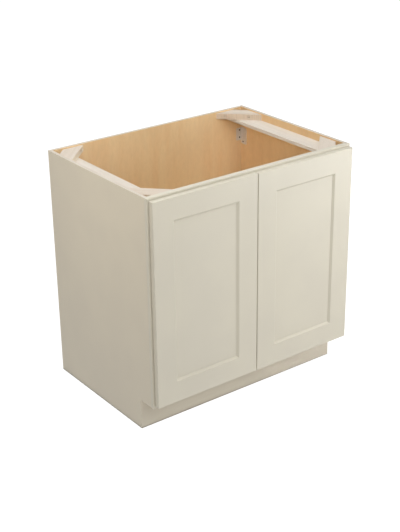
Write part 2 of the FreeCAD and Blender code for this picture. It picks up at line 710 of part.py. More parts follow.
def outer_links(z):
    """The two leaves outside the arm, with a wide eye at the cup where the loop of links is open."""
    p, q = hinge_point(ARM_PIN_OUTER), hinge_point(CUP_PIN_OUTER)
    leaves = []
    for z0, z1 in above_and_below(z, layers()["outer_link"]):
        leaf = union([strap(p, q, LINK_R, z0, z1), upright(CUP_PIN_OUTER, OPEN_EYE_R, z0, z1)])
        leaves.append(leaf.cut([
            upright(ARM_PIN_OUTER, PIN_R + PIN_PLAY, z0, z1),
            upright(CUP_PIN_OUTER, PIN_R + OPEN_PIVOT_PLAY, z0, z1),
        ]))
    return leaves


def save_hands(name, solids):
    """Write a left group and its right twin."""
    save(name.format("left"), *solids)
    save(name.format("right"), *[mirrored(s) for s in solids])


def build_doors():
    """Write both doors with their hinges."""
    bores = [b for z in HINGE_Z for b in cup_bores(z)]
    hinge_stile = door_stile(-DOOR_OUTER_X, 1)
    lock_stile = door_stile(-DOOR_INNER_X, -1)
    stiles = [hinge_stile, lock_stile]
    save_pair("{}_door_hinge_stile", hinge_stile.cut(bores))
    save_pair("{}_door_lock_stile", lock_stile)
    save_pair("{}_door_top_rail", door_rail(DOOR_TOP_Z, -1, stiles))
    save_pair("{}_door_bottom_rail", door_rail(DOOR_BOTTOM_Z, 1, stiles))
    save_pair("{}_door_panel", door_panel())
    save_hands("{}_door_bumpers", bumpers())
    save_hands("{}_hinge_cups", [hinge_cup(z) for z in HINGE_Z])
    save_hands("{}_hinge_arms", [hinge_arm(z) for z in HINGE_Z])
    save_hands("{}_inner_links", [inner_link(z) for z in HINGE_Z])
    save_hands("{}_outer_links", [leaf for z in HINGE_Z for leaf in outer_links(z)])


os.makedirs("parts", exist_ok=True)
heights = {name: FLOOR_TOP + lift for name, lift in TRAY_LIFT.items()}
build_carcass(heights.values())
for tray_name, height in heights.items():
    build_tray(tray_name, height)
build_doors()
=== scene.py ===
import json
import math

import bmesh
import bpy
import numpy as np
from mathutils import Matrix, Vector

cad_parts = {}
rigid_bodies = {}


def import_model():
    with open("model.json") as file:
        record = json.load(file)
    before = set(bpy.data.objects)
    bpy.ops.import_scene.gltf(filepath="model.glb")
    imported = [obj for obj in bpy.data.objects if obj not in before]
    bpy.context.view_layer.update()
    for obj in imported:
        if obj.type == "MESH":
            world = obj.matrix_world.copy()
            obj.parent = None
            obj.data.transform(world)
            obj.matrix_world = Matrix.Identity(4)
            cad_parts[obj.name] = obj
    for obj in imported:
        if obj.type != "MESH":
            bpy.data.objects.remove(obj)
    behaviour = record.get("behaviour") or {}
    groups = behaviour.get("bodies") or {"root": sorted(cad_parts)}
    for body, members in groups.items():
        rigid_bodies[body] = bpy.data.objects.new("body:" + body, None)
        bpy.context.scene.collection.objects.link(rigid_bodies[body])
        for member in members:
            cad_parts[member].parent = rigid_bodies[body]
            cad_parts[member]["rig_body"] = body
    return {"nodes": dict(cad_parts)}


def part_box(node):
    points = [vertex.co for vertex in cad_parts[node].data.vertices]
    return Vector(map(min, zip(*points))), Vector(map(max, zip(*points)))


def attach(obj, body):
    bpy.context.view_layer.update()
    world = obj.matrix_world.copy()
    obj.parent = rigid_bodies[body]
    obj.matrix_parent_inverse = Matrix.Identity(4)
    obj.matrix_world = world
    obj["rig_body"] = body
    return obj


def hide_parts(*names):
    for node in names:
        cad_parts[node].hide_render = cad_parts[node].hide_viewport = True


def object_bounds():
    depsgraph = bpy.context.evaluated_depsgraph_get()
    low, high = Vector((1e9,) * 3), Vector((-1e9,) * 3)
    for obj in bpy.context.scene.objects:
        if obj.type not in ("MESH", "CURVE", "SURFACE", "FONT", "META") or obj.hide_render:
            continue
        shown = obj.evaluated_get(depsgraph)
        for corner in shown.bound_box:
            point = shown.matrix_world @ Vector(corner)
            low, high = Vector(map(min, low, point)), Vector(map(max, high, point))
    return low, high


# Base cabinet with rollout shelves: its finishes and fine forms, the studio and the camera

MM = 0.001
WHITE = (1, 1, 1, 1)

# Camera: angles in degrees, found from the cabinet's own corners in the 400 x 532 picture
VIEW_AZIMUTH = -36.523
VIEW_ELEVATION = 24.417
VIEW_ROLL = -0.793
CAMERA_PLACE = (-2.3089, -3.1015, 2.1763)
LENS_MM = 78.3
LENS_SHIFT = (-0.0003, -0.0003)
SENSOR_MM = 36.0

# Floor: half its width in metres, and the glow that makes it as white as the surround
FLOOR_HALF = 60.0
FLOOR_GLOW = 1.0

# Studio: softboxes by place, the point they face, width or width and height in metres, watts, spread in
# degrees and tint. up_right shines from inside the case, and sheen_right shows only as a reflection.
REFLECTED_ONLY = ("sheen_right",)
MIDDLE = (0.0, 0.0, 0.44)
WIDE = 180
SOFTBOXES = {
    "front": ((0.3, -3.0, 3.2), MIDDLE, 2.0, 21.6, WIDE, "#ffffff"),
    "front_left": ((-1.8, -2.8, 2.4), MIDDLE, 2.0, 23.3, WIDE, "#fffdf9"),
    "front_left_top": ((-1.0, -1.2, 2.4), MIDDLE, 1.2, 8.9, WIDE, "#ffffff"),
    "far_left": ((-4.5, -1.0, 2.5), MIDDLE, 2.5, 6.7, WIDE, "#ffffff"),
    "overhead": ((-0.5, -0.2, 3.2), MIDDLE, 2.0, 9.3, WIDE, "#ffffff"),
    "over_doors": ((0.1, -1.0, 2.6), MIDDLE, 1.2, 8.6, WIDE, "#ffffff"),
    "high_over_doors": ((0.3, -0.9, 4.2), MIDDLE, 2.2, 5.7, WIDE, "#ffffff"),
    "behind": ((0.2, 1.6, 3.0), MIDDLE, 2.0, 36.4, WIDE, "#ffffff"),
    "low_right": ((1.3, -1.3, 0.95), MIDDLE, 0.7, 11.3, WIDE, "#ffffff"),
    "near_left": ((-1.2, 0.05, 1.1), (-0.435, 0.0, 0.7), 0.6, 2.63, WIDE, "#fff6e8"),
    "into_left": ((0.9, -0.9, 1.4), (-0.36, 0.25, 0.85), 0.3, 0.045, 16, "#ffffff"),
    "into_corner": ((-0.7, -1.0, 1.5), (0.38, 0.27, 0.81), 0.3, 0.067, 16, "#ffffff"),
    "up_right": ((-0.3, -0.03, 0.6), (0.352, -0.08, 0.9), (0.5, 0.05), 0.075, 36, "#ffffff"),
    "toe_right": ((0.65, -0.95, 0.03), (0.34, -0.23, 0.04), (0.35, 0.02), 0.023, 12, "#ffffff"),
    "sheen_right": ((1.6, -1.75, 0.45), (0.3, -0.3, 0.8), 0.8, 10.2, WIDE, "#eef5ff"),
}

# Glow of the paper that the cabinet stands on: half its width, height above the floor and distance kept
# from the cabinet so that its foot stays darker, in metres; watts per square metre on each side; and tint
PAPER_HALF = 4.0
PAPER_LIFT = 0.002
PAPER_FREE = 0.004
PAPER_WATTS = {"left": 2.51, "right": 3.08, "front": 3.11, "back": 2.88}
PAPER_TINT = "#fffefd"

# Turned and rolled hardware, in metres
SHEET_T = 1.2 * MM
BEND_OUT, BEND_IN, FREE_EDGE = 1.9 * MM, 0.8 * MM, 0.35 * MM
RIVET_R, RIVET_T, RIVET_GAP = 3.6 * MM, 0.6 * MM, 0.3 * MM
AXLE_PLAY = 0.06 * MM
WINDOW_PAST_WHEEL, WINDOW_LIP = 2.0 * MM, 0.02 * MM
WHEEL_HUB_R, WHEEL_RIM, WHEEL_RECESS = 5.0 * MM, 2.0 * MM, 0.8 * MM
BORE_SOFT, STEP_SOFT, TREAD_SOFT = 0.2 * MM, 0.3 * MM, 1.0 * MM
THREAD_PITCH, THREAD_DEPTH = 1.4 * MM, 0.4 * MM
SLOT_HALF = 0.55 * MM

# Screws: the dome's drop and the slots' depth as shares of the head's height, the slots' reach and where the
# rim begins as shares of its radius; rows of points on a turn of thread, and turns that taper to the tip
DOME_DROP, SLOT_DEPTH = 0.5, 0.6
SLOT_REACH, RIM_FROM = 0.7, 0.96
ROWS_PER_TURN, TIP_TURNS = 6, 2

# Corners closer than this are one, and faces that meet at less than these angles are one flat or one curve
MERGE = 0.001 * MM
FLAT_UNDER = math.radians(1)
SMOOTH_UNDER = math.radians(32)

# Arrises taken off boards with sandpaper: their widths and the shortest edge that has one, in metres, and
# the flats that round each
BOARD_ARRIS = 0.25 * MM
SAWN_ARRIS = 0.4 * MM
ARRIS_FROM = 6.0 * MM
ARRIS_STEPS = 2

# Sockets of the colour Mix node, and the range that most noise values lie in
MIX_FACTOR, MIX_A, MIX_B, MIX_RESULT = 0, 6, 7, 2
MOST_NOISE = (0.3, 0.7)

# Figure of planed wood: how the grain sways, how far bands and streaks are drawn out, a pore's width and
# length in millimetres, a curl's as shares of a band, and how much streaks, pores and curls change the tone
SWAY_SCALE, SWAY_REACH = 3.0, 0.05
BAND_DRAWN, STREAK_DRAWN = 14, 30
PORE_MM = (2.0, 14.0)
CURL_WIDE, CURL_LONG = 0.25, 0.6
STREAK_TONE, PORE_TONE = 0.985, 0.95
CURL_TONES = (0.98, 1.02)

# Cream lacquer: its light and dark tones on frame and doors, on the toe kick and the edges beside it, and
# on the sides; and the roughness of the sides with and without it. The toe kick's tones are a darker copy of
# the doors', painted shade, and the sides' a lighter, warmer copy, painted light
DOOR_FILM = ("#d2ccbb", "#cfc9b9")
TOE_FILM_SHADED = ("#cbc3b1", "#c8c0ae")
SIDE_FILM_LIT = ("#d6cdb9", "#d3cab7")
FILM_ROUGH, BARE_ROUGH = 0.40, 0.46

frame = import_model()
CAD_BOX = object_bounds()

# Faces of the case, read from the frame, and how near to a face counts as on it
SIDE_LOW, SIDE_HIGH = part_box("right_side_panel")
SIDE_OUTER_X = SIDE_HIGH.x
SIDE_INNER_X = SIDE_LOW.x
BACK_LOW, BACK_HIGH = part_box("back_panel")
FLOOR_LOW, FLOOR_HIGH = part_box("floor_panel")
FACE_PLAY = 0.4 * MM


def linear(code):
    """An sRGB hex colour as linear red, green, blue and alpha."""
    shares = [int(code[i:i + 2], 16) / 255 for i in (1, 3, 5)]
    return tuple(s / 12.92 if s <= 0.04045 else ((s + 0.055) / 1.055) ** 2.4 for s in shares) + (1.0,)


def add(tree, kind, inputs=None, **settings):
    """One node with its settings; each input is a value to set or another node's output to link."""
    made = tree.nodes.new("ShaderNode" + kind)
    for name, value in settings.items():
        setattr(made, name, value)
    for name, value in (inputs or {}).items():
        if isinstance(value, bpy.types.NodeSocket):
            tree.links.new(value, made.inputs[name])
        else:
            made.inputs[name].default_value = value
    return made


def blank(name):
    """A new material's empty node tree."""
    made = bpy.data.materials.new(name)
    made.use_nodes = True
    made.node_tree.nodes.clear()
    return made, made.node_tree


def surfaced(made, inputs):
    """The material, closed with one shader."""
    tree = made.node_tree
    shader = add(tree, "BsdfPrincipled", inputs)
    add(tree, "OutputMaterial", {"Surface": shader.outputs[0]})
    return made


def stretched(tree, size, detail=2.0, turn=0.0, warp=None):
    """Noise whose lumps have this size in metres on each axis, turned about Z."""
    coords = warp or add(tree, "TexCoord").outputs["Object"]
    place = add(tree, "Mapping", {"Vector": coords, "Rotation": (0, 0, turn), "Scale": size},
                vector_type="TEXTURE")
    noise = add(tree, "TexNoise", {"Vector": place.outputs[0], "Scale": 1.0, "Detail": detail})
    return noise.outputs["Fac"]


def spread(tree, value, low, high, to_low=0.0, to_high=1.0):
    """A value's range from low to high, drawn out smoothly to another range."""
    return add(tree, "MapRange", {"Value": value, "From Min": low, "From Max": high,
                                  "To Min": to_low, "To Max": to_high},
               interpolation_type="SMOOTHSTEP").outputs[0]


def mixed(tree, factor, a, b, blend="MIX"):
    """Two colours mixed by a factor."""
    return add(tree, "Mix", {MIX_FACTOR: factor, MIX_A: a, MIX_B: b},
               data_type="RGBA", blend_type=blend).outputs[MIX_RESULT]


def axis_size(along, across_mm, along_mm):
    """Lump size in metres: long on the grain's axis and narrow on the other two."""
    size = [across_mm * MM] * 3
    size[along] = along_mm * MM
    return tuple(size)


def wood_colour(tree, light, dark, along, turn=0.0, band_mm=45.0, streak_mm=5.0):
    """The colour of planed wood, and its pores as a height.

    Growth bands that wander, streaks and short dark pores drawn out along the grain, and small soft curls.
    """
    coords = add(tree, "TexCoord").outputs["Object"]
    sway = add(tree, "TexNoise", {"Vector": coords, "Scale": SWAY_SCALE, "Detail": 1.0})
    offset = add(tree, "VectorMath", {0: sway.outputs["Color"], 1: (0.5, 0.5, 0.5)}, operation="SUBTRACT")
    bent = add(tree, "VectorMath", {0: offset.outputs[0], 1: (SWAY_REACH,) * 3, 2: coords},
               operation="MULTIPLY_ADD").outputs[0]
    bands = stretched(tree, axis_size(along, band_mm, band_mm * BAND_DRAWN), 3.0, turn, bent)
    streaks = stretched(tree, axis_size(along, streak_mm, streak_mm * STREAK_DRAWN), 3.0, turn, bent)
    pores = stretched(tree, axis_size(along, *PORE_MM), 1.0, turn)
    curls = stretched(tree, axis_size(along, band_mm * CURL_WIDE, band_mm * CURL_LONG), 2.0, turn, bent)
    tone = mixed(tree, spread(tree, bands, *MOST_NOISE), linear(light), linear(dark))
    shade = spread(tree, streaks, 0.35, 0.75, 1.0, STREAK_TONE)
    fleck = spread(tree, pores, 0.6, 0.78, 1.0, PORE_TONE)
    sheen = spread(tree, curls, *MOST_NOISE, *CURL_TONES)
    grain = add(tree, "Math", {0: shade, 1: fleck}, operation="MULTIPLY").outputs[0]
    darker = add(tree, "Math", {0: grain, 1: sheen}, operation="MULTIPLY").outputs[0]
    colour = add(tree, "VectorMath", {0: tone, "Scale": darker}, operation="SCALE").outputs[0]
    return colour, fleck


def ply_colour(tree, across):
    """Veneers on edge: bands a ply thick, light face grain between darker end grain."""
    size = [90 * MM] * 3
    size[across] = 2.6 * MM
    layers = stretched(tree, tuple(size), 0.0)
    return mixed(tree, spread(tree, layers, 0.42, 0.58), linear("#d2cabc"), linear("#c9beaf"))


def lacquer_colour(tree, light, dark):
    """An even cream film that drifts very slightly in tone over a hand's breadth."""
    drift = stretched(tree, (0.18, 0.18, 0.18), 2.0)
    return mixed(tree, spread(tree, drift, *MOST_NOISE), linear(light), linear(dark))


def lacquer_peel(tree):
    """Sprayed film's orange peel, drawn 4 mm across so that it shows."""
    return stretched(tree, (4 * MM, 4 * MM, 4 * MM), 1.0)


def sprayed_lacquer(name, light, dark):
    """Satin catalysed lacquer, sprayed on close-grained wood: soft wide highlights, faint orange peel."""
    made, tree = blank(name)
    bump = add(tree, "Bump", {"Height": lacquer_peel(tree), "Strength": 0.05, "Distance": 0.4 * MM})
    rough = spread(tree, stretched(tree, (0.05, 0.05, 0.05)), *MOST_NOISE, 0.36, 0.44)
    return surfaced(made, {"Base Color": lacquer_colour(tree, light, dark), "Roughness": rough,
                           "Normal": bump.outputs[0], "IOR": 1.5, "Specular IOR Level": 0.3})


def lacquered_ply_side():
    """Plywood side: cream lacquer outside and on front edges, maple veneer inside, bare plies on top.

    The outside's lacquer is a lighter, warmer copy of the doors', painted light, and the front edges take
    the toe kick's darker copy, painted shade.
    """
    made, tree = blank("maple_ply_lacquered_outside")
    where = add(tree, "TexCoord")
    place = add(tree, "SeparateXYZ", {0: where.outputs["Object"]})
    facing = add(tree, "SeparateXYZ", {0: where.outputs["Normal"]})
    out = add(tree, "Math", {0: place.outputs[0]}, operation="ABSOLUTE").outputs[0]
    outside = add(tree, "Math", {0: out, 1: SIDE_OUTER_X - FACE_PLAY}, operation="GREATER_THAN").outputs[0]
    front = add(tree, "Math", {0: facing.outputs[1], 1: -0.5}, operation="LESS_THAN").outputs[0]
    painted = add(tree, "Math", {0: outside, 1: front}, operation="MAXIMUM").outputs[0]
    inside = add(tree, "Math", {0: out, 1: SIDE_INNER_X + FACE_PLAY}, operation="LESS_THAN").outputs[0]
    veneer, _ = wood_colour(tree, "#e7c493", "#e2bd8d", along=2)
    bare = mixed(tree, inside, ply_colour(tree, 0), veneer)
    # Outside faces take a lighter copy of the cream lacquer, painted light, and front edges the toe kick's
    # darker copy, painted shade
    film = mixed(tree, front, lacquer_colour(tree, *SIDE_FILM_LIT), lacquer_colour(tree, *TOE_FILM_SHADED))
    colour = mixed(tree, painted, bare, film)
    rough = add(tree, "Math", {0: painted, 1: FILM_ROUGH - BARE_ROUGH, 2: BARE_ROUGH},
                operation="MULTIPLY_ADD").outputs[0]
    return surfaced(made, {"Base Color": colour, "Roughness": rough, "IOR": 1.5,
                           "Specular IOR Level": 0.3})


def maple_ply(name, along, across, low, high):
    """Plywood with clear-coated maple veneer on both faces: soft warm figure, plies on edge."""
    made, tree = blank(name)
    place = add(tree, "SeparateXYZ", {0: add(tree, "TexCoord").outputs["Object"]}).outputs[across]
    at_low = add(tree, "Math", {0: place, 1: low + FACE_PLAY}, operation="LESS_THAN").outputs[0]
    at_high = add(tree, "Math", {0: place, 1: high - FACE_PLAY}, operation="GREATER_THAN").outputs[0]
    face = add(tree, "Math", {0: at_low, 1: at_high}, operation="MAXIMUM").outputs[0]
    veneer, fleck = wood_colour(tree, "#e7ca9d", "#e4c293", along)
    colour = mixed(tree, face, ply_colour(tree, across), veneer)
    bump = add(tree, "Bump", {"Height": fleck, "Strength": 0.1, "Distance": 0.1 * MM})
    return surfaced(made, {"Base Color": colour, "Roughness": 0.45, "IOR": 1.5, "Normal": bump.outputs[0]})


def planed_birch(name, along):
    """Bare planed birch: pale pinkish white, dry and matt, with a faint figure."""
    made, tree = blank(name)
    colour, fleck = wood_colour(tree, "#dcd4c9", "#d6cdc0", along, 0.0, 30.0, 4.0)
    bump = add(tree, "Bump", {"Height": fleck, "Strength": 0.15, "Distance": 0.15 * MM})
    return surfaced(made, {"Base Color": colour, "Roughness": 0.7, "IOR": 1.45, "Normal": bump.outputs[0]})


def sawn_birch(name, turn, tops, edges):
    """Birch planed on its flat faces and left from the saw on its edges, which show upright cuts."""
    made, tree = blank(name)
    planed, fleck = wood_colour(tree, *tops, 0, turn, 16.0, 5.0)
    cuts = stretched(tree, (2.0 * MM, 60 * MM, 60 * MM), 1.0, turn)
    edge = mixed(tree, spread(tree, cuts, 0.25, 0.75), *map(linear, edges))
    flat = add(tree, "SeparateXYZ", {0: add(tree, "TexCoord").outputs["Normal"]}).outputs[2]
    level = add(tree, "Math", {0: flat}, operation="ABSOLUTE").outputs[0]
    upright = spread(tree, level, 0.4, 0.7, 1.0, 0.0)
    depth = add(tree, "Math", {0: cuts, 1: upright, 2: fleck}, operation="MULTIPLY_ADD").outputs[0]
    bump = add(tree, "Bump", {"Height": depth, "Strength": 0.25, "Distance": 0.2 * MM})
    colour = mixed(tree, upright, planed, edge)
    return surfaced(made, {"Base Color": colour, "Roughness": 0.75, "IOR": 1.45, "Normal": bump.outputs[0]})


def lacquered_maple(name, along):
    """Solid hard maple under clear lacquer: creamy, lightly streaked, with a soft shine."""
    made, tree = blank(name)
    colour, fleck = wood_colour(tree, "#e6cea8", "#dfc297", along, 0.0, 34.0, 4.5)
    bump = add(tree, "Bump", {"Height": fleck, "Strength": 0.1, "Distance": 0.1 * MM})
    return surfaced(made, {"Base Color": colour, "Roughness": 0.38, "IOR": 1.5, "Normal": bump.outputs[0]})


def powder_coated_steel():
    """Roll-formed steel under a baked epoxy powder coat: warm white, smooth, faintly pebbled."""
    made, tree = blank("powder_coated_steel")
    pebble = stretched(tree, (1.5 * MM, 1.5 * MM, 1.5 * MM), 1.0)
    bump = add(tree, "Bump", {"Height": pebble, "Strength": 0.08, "Distance": 0.1 * MM})
    rough = spread(tree, stretched(tree, (0.03, 0.03, 0.03)), *MOST_NOISE, 0.3, 0.38)
    colour = mixed(tree, pebble, linear("#e9e6de"), linear("#e2dfd6"))
    return surfaced(made, {"Base Color": colour, "Roughness": rough, "Normal": bump.outputs[0]})


def zinc_plated_steel():
    """Stamped steel with a passivated zinc plate: warm grey, cloudy, with a blurred shine."""
    made, tree = blank("zinc_plated_steel")
    cloud = stretched(tree, (7 * MM, 7 * MM, 7 * MM), 3.0)
    colour = mixed(tree, spread(tree, cloud, *MOST_NOISE), linear("#ddd5cc"), linear("#d7cfc6"))
    rough = spread(tree, cloud, *MOST_NOISE, 0.38, 0.52)
    return surfaced(made, {"Base Color": colour, "Metallic": 0.5, "Roughness": rough})


def nickel_plated_steel():
    """Pressed steel with bright nickel plate: clear reflections, slightly hazed by the pressing."""
    made, tree = blank("nickel_plated_steel")
    haze = stretched(tree, (9 * MM, 9 * MM, 9 * MM), 1.0)
    colour = mixed(tree, haze, linear("#d2cec8"), linear("#cbc7c0"))
    rough = spread(tree, haze, *MOST_NOISE, 0.26, 0.3)
    return surfaced(made, {"Base Color": colour, "Metallic": 1.0, "Roughness": rough})


def phosphated_steel():
    """Heat-treated screw steel with a dark phosphate coat: brown-black and dry."""
    made, tree = blank("phosphated_steel")
    dust = stretched(tree, (1 * MM, 1 * MM, 1 * MM), 2.0)
    colour = mixed(tree, dust, linear("#5a4c42"), linear("#453a33"))
    return surfaced(made, {"Base Color": colour, "Metallic": 0.7, "Roughness": 0.5})


def moulded_nylon():
    """Injection-moulded natural nylon: milky white, waxy, with faint flow marks."""
    made, tree = blank("moulded_nylon")
    flow = stretched(tree, (3 * MM, 3 * MM, 3 * MM), 2.0)
    colour = mixed(tree, flow, linear("#efece4"), linear("#e6e2d8"))
    rough = spread(tree, flow, *MOST_NOISE, 0.4, 0.5)
    return surfaced(made, {"Base Color": colour, "Roughness": rough, "IOR": 1.53})


def clear_polyurethane():
    """Cast clear polyurethane: colourless, soft, with a slight haze."""
    made, tree = blank("clear_polyurethane")
    haze = stretched(tree, (2 * MM, 2 * MM, 2 * MM), 1.0)
    rough = spread(tree, haze, *MOST_NOISE, 0.08, 0.18)
    return surfaced(made, {"Base Color": linear("#eef0ee"), "Roughness": rough, "IOR": 1.5,
                           "Transmission Weight": 0.75})


def solids_of(node):
    """The corner points of each separate solid in a CAD node, from left to right.

    Corners at one place are one point. Each point takes the lowest number among the triangles round it until
    nothing changes, so that the points of one solid end with one number.
    """
    mesh = frame["nodes"][node].data
    places = np.empty(len(mesh.vertices) * 3)
    mesh.vertices.foreach_get("co", places)
    corners = np.empty(len(mesh.loops), dtype=int)
    mesh.loops.foreach_get("vertex_index", corners)
    points, number = np.unique(places.reshape(-1, 3).round(6), axis=0, return_inverse=True)
    triangles = number.ravel()[corners].reshape(-1, 3)
    label = np.arange(len(points))
    settled = False
    while not settled:
        wider = label.copy()
        np.minimum.at(wider, triangles.ravel(), np.repeat(label[triangles].min(1), 3))
        settled = np.array_equal(label, wider)
        label = wider
    solids = [points[label == one] for one in np.unique(label)]
    return sorted(solids, key=lambda solid: solid[:, 0].mean())


def rounded(corners, reach, steps=5):
    """A closed outline whose corners are curves.

    At corner P, with unit directions a and b to its neighbours, the curve runs from A = P + d a
    to B = P + d b as (1 - t)^2 A + 2 t (1 - t) P + t^2 B, where d is the reach there.
    """
    corners = np.asarray(corners)
    before = np.roll(corners, 1, 0) - corners
    after = np.roll(corners, -1, 0) - corners
    reach = np.broadcast_to(reach, len(corners))[:, None]
    start = corners + reach * before / np.linalg.norm(before, axis=1, keepdims=True)
    end = corners + reach * after / np.linalg.norm(after, axis=1, keepdims=True)
    t = np.linspace(0, 1, steps)[:, None]
    curve = (1 - t) ** 2 * start[:, None] + 2 * t * (1 - t) * corners[:, None] + t ** 2 * end[:, None]
    return curve.reshape(-1, 2)


def turned(profile, around=48):
    """A profile of radius and height pairs carried round the Z axis: a grid of rows by turns."""
    turn = np.linspace(0, 2 * np.pi, around, endpoint=False)
    radius, height = profile[:, :1], profile[:, 1:]
    return np.stack([radius * np.cos(turn), radius * np.sin(turn), height + 0 * turn], -1)


def stood(grid, place, axis):
    """A grid turned so that its Z runs along axis, and moved to a place."""
    side = np.cross(np.eye(3)[np.abs(axis).argmin()], axis)
    side /= np.linalg.norm(side)
    return np.asarray(place) + grid @ np.stack([side, np.cross(axis, side), axis])


def skin(grid, ring=False, capped=False):
    """A grid's points and its quads.

    Columns close on themselves, and so do the rows of a ring; caps close the ends.
    """
    rows, columns = grid.shape[:2]
    index = np.arange(rows * columns).reshape(rows, columns)
    low = index if ring else index[:-1]
    high = np.roll(index, -1, 0) if ring else index[1:]
    quads = np.stack([low, np.roll(low, -1, 1), np.roll(high, -1, 1), high], -1).reshape(-1, 4)
    return grid.reshape(-1, 3), [quads] + ([index[:1], index[-1:]] if capped else [])


def mirrored(shapes):
    """Left shapes and their right twins."""
    return shapes + [(points * (-1, 1, 1), faces) for points, faces in shapes]


def merged(mesh):
    """Join doubled corners of a mesh and turn its faces outwards."""
    work = bmesh.new()
    work.from_mesh(mesh)
    bmesh.ops.remove_doubles(work, verts=work.verts, dist=MERGE)
    bmesh.ops.dissolve_degenerate(work, edges=work.edges, dist=MERGE)
    bmesh.ops.recalc_face_normals(work, faces=work.faces)
    return work


def placed(name, mesh, work, material, node):
    """The finished piece: it takes a CAD node's place and moves with it."""
    work.to_mesh(mesh)
    work.free()
    mesh.materials.clear()
    mesh.materials.append(material)
    piece = bpy.data.objects.new(name, mesh)
    bpy.context.scene.collection.objects.link(piece)
    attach(piece, frame["nodes"][node]["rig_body"])
    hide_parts(node)
    return piece


def formed(name, shapes, material, node):
    """One piece from worked-out shapes of points and faces."""
    points = np.concatenate([shape[0] for shape in shapes])
    first = np.cumsum([0] + [len(shape[0]) for shape in shapes])
    faces = []
    for start, (_, blocks) in zip(first, shapes):
        for block in blocks:
            faces.extend((block + start).tolist())
    mesh = bpy.data.meshes.new(name)
    mesh.from_pydata(points.tolist(), [], faces)
    piece = placed(name, mesh, merged(mesh), material, node)
    mesh.shade_smooth()
    mesh.set_sharp_from_angle(angle=SMOOTH_UNDER)
    return piece


def shows(edge):
    """True if an edge lies on the outside of the whole object."""
    middle = (edge.verts[0].co + edge.verts[1].co) / 2
    return any(abs(m - c) < FACE_PLAY for corner in CAD_BOX for m, c in zip(middle, corner))


def eased(material, arris, slot, *nodes, joined=True):
    """Copies of boards without their long sharp edges: flat triangles joined, then each arris bevelled.

    A joined board keeps the edges that meet others sharp, and so loses only those on the object's outside.
    """
    for node in nodes:
        mesh = frame["nodes"][node].data.copy()
        work = merged(mesh)
        bmesh.ops.dissolve_limit(work, angle_limit=FLAT_UNDER, verts=work.verts, edges=work.edges)
        weight = work.edges.layers.float.new("bevel_weight_edge")
        for edge in work.edges:
            sharp = edge.calc_length() > ARRIS_FROM and edge.calc_face_angle() > SMOOTH_UNDER
            edge[weight] = sharp and (shows(edge) or not joined)
        piece = placed(node + "_eased", mesh, work, material, node)
        mesh.shade_flat()
        bevel = piece.modifiers.new("arris", "BEVEL")
        bevel.width = arris
        bevel.segments = ARRIS_STEPS
        bevel.limit_method = "WEIGHT"


def screw(solid):
    """A wood screw in the place of its solid.

    The head's top is a dome, z = h (1 - drop s^2) with s the share of its radius, sunk along two crossed
    slots by depth h sqrt(1 - s / reach). The shank's radius is R - d |2 f - 1|, where f is the fraction of
    z / pitch + turn, and it tapers to its tip.
    """
    low, high = solid.min(0), solid.max(0)
    way = (high - low).argmax()
    middle = (low + high) / 2
    reach = np.linalg.norm(np.delete(solid - middle, way, 1), axis=1)
    rim = solid[reach > 0.9 * reach.max(), way]
    axis = np.eye(3)[way] * np.sign(rim.mean() - middle[way])
    head_r, head_t, shank_r, long = reach.max(), np.ptp(rim), reach.min(), (high - low)[way]
    bite = long - head_t
    turn = np.linspace(0, 1, 32, endpoint=False)
    around = np.stack([np.cos(2 * np.pi * turn), np.sin(2 * np.pi * turn)])
    share = np.linspace(0, RIM_FROM, 15)[:, None]
    slot = np.minimum(*np.abs(around))[None, :] * share * head_r
    inside = np.clip(2 - 2 * slot / SLOT_HALF, 0, 1)
    sunk = SLOT_DEPTH * np.sqrt(np.clip(1 - share / SLOT_REACH, 0, 1)) * inside
    dome = head_t * (1 - DOME_DROP * share ** 2 - sunk)
    edge = np.array([[1.0, 0.4], [1.0, 0.1], [RIM_FROM, 0.0]])
    depth = np.linspace(0, bite, int(ROWS_PER_TURN * bite / THREAD_PITCH))[:, None]
    ridge = np.abs(2 * ((depth / THREAD_PITCH + turn) % 1) - 1)
    taper = np.clip((bite - depth) / (TIP_TURNS * THREAD_PITCH), 0, 1)
    radius = np.concatenate([share * head_r + 0 * turn, edge[:, :1] * head_r + 0 * turn,
                             (shank_r - THREAD_DEPTH * ridge) * taper])
    height = np.concatenate([dome, edge[:, 1:] * head_t + 0 * turn, 0 * turn - depth])
    grid = np.stack([radius * around[0], radius * around[1], height], -1)
    return skin(stood(grid, middle + axis * (long / 2 - head_t), axis))


def bumper(solid):
    """A soft dot: height T (1 - s^3)^0.6 over the share s of its radius, flat where it meets the door."""
    low, high = solid.min(0), solid.max(0)
    radius, thick = (high - low)[0] / 2, (high - low)[1]
    share = np.sin(np.linspace(0, np.pi / 2, 14))
    top = np.stack([share * radius, thick * (1 - share ** 3) ** 0.6], 1)
    profile = np.concatenate([top, [[0, 0]]])
    place = ((low + high) / 2 * (1, 0, 1)) + (0, low[1], 0)
    return skin(stood(turned(profile, 32), place, np.array([0.0, 1.0, 0.0])))


def wheel(solid):
    """A roller: an outline of bore, hub, recess and rim with softened corners, carried round its axle."""
    low, high = solid.min(0), solid.max(0)
    middle = (low + high) / 2
    bore = np.linalg.norm((solid - middle)[:, 1:], axis=1).min()
    out, half = (high - low)[1] / 2, (high - low)[0] / 2
    recess = half - WHEEL_RECESS
    face = [(bore, half), (WHEEL_HUB_R, half), (WHEEL_HUB_R, recess), (out - WHEEL_RIM, recess),
            (out - WHEEL_RIM, half), (out, half)]
    outline = face + [(r, -h) for r, h in reversed(face)]
    soft = np.array([BORE_SOFT] + [STEP_SOFT] * 4 + [TREAD_SOFT])
    profile = rounded(outline, np.concatenate([soft, soft[::-1]]))
    return skin(stood(turned(profile, 64), middle, np.array([1.0, 0.0, 0.0])), ring=True)


